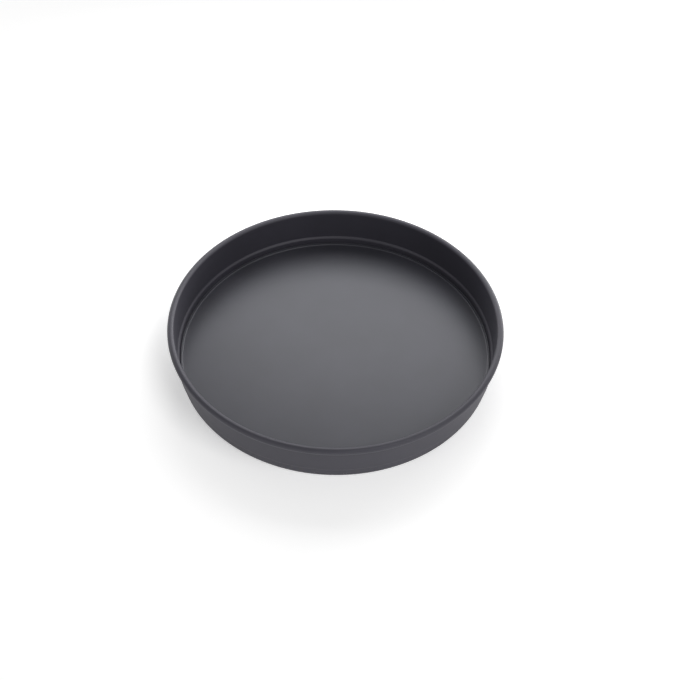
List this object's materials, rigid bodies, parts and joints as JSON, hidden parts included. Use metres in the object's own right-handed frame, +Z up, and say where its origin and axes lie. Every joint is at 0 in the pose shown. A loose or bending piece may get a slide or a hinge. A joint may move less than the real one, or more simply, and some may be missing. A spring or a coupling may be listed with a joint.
{
  "type": "round cake pan",
  "caption": "Straight-sided round cake pan of dark anodised aluminium with a rolled, wired rim, a small step above the foot and a loose base that lifts out upwards.",
  "frame": {"origin": "middle of the foot, on the surface that the pan stands on", "axes": "+Z up along the pan's axis, out of its mouth; the pan is round, so X and Y are any two directions across it"},
  "size_m": [0.2644, 0.2644, 0.037],
  "materials": {
    "anodised_wall": "satin, dark grey hard anodised, faint spinning lines around the wall",
    "anodised_base": "satin, dark grey hard anodised",
    "steel_wire": "drawn, dull"
  },
  "bodies": {
    "wall": {"side_wall": "anodised_wall", "rim_wire": "steel_wire"},
    "base": {"loose_base": "anodised_base"}
  },
  "joints": [
    {"name": "base_lift", "type": "slide", "parent": "wall", "child": "base", "axis": [0, 0, 1], "range_m": [0, 0.06]}
  ]
}
